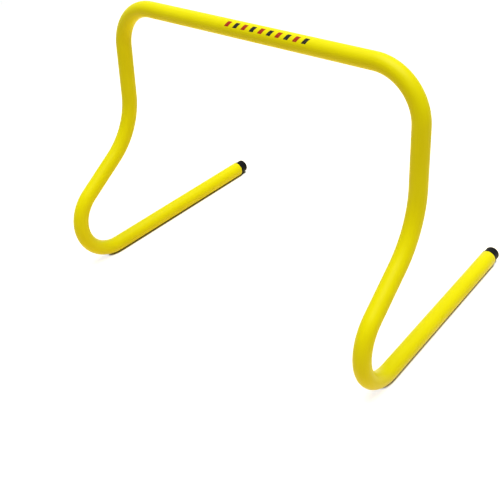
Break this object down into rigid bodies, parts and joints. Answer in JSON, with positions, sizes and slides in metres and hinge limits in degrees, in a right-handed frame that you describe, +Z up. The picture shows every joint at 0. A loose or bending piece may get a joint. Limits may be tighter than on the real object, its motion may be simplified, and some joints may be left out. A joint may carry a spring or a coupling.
{
  "type": "speed hurdle",
  "caption": "Low free-standing training hurdle bent from bright plastic tube, stepped or jumped over in sprint and agility drills, with plugs closing its feet.",
  "frame": {"origin": "on the floor, under the middle of the hurdle's bounding box", "axes": "+X along the crossbar, +Y back along the feet towards the plugs, +Z up"},
  "size_m": [0.4462, 0.2959, 0.324],
  "materials": {
    "tube": "satin yellow extruded tube",
    "plug": "satin black moulded plug"
  },
  "bodies": {
    "root": {"bent_tube": "tube", "left_foot_plug": "plug", "right_foot_plug": "plug"}
  },
  "joints": []
}
